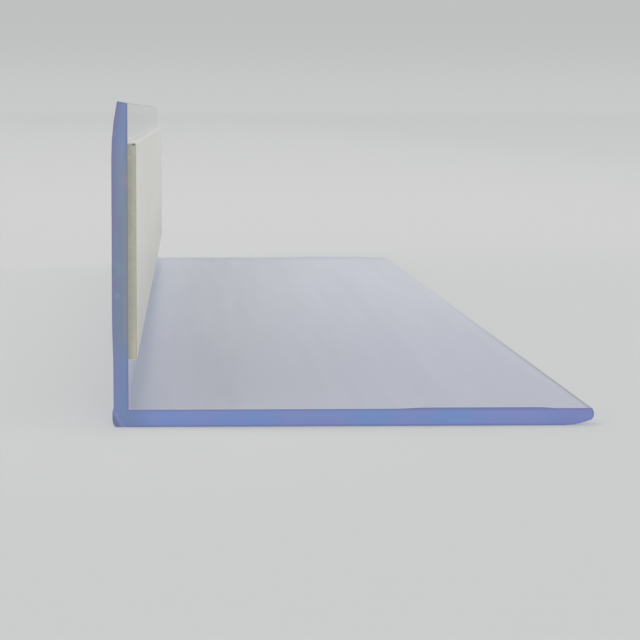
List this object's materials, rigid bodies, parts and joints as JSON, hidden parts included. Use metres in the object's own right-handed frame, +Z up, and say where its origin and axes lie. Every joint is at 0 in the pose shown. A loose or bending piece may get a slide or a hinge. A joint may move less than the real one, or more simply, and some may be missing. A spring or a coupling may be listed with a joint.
{
  "type": "plastic angle profile",
  "caption": "Clear rigid plastic angle with unequal legs and tapered tips, with a strip of double-sided foam tape under its release liner along the inside of the short leg.",
  "frame": {"origin": "middle of the base, on the floor, halfway along the extrusion", "axes": "+Y along the extrusion, +X across the flat long leg from the heel to its tip, +Z up along the short leg"},
  "size_m": [0.045, 0.3, 0.0302],
  "materials": {
    "clear_pvc": "gloss",
    "tape_foam": "matte",
    "liner_paper": "satin"
  },
  "bodies": {
    "root": {"angle_profile": "clear_pvc", "foam_tape": "tape_foam", "release_liner": "liner_paper"}
  },
  "joints": []
}
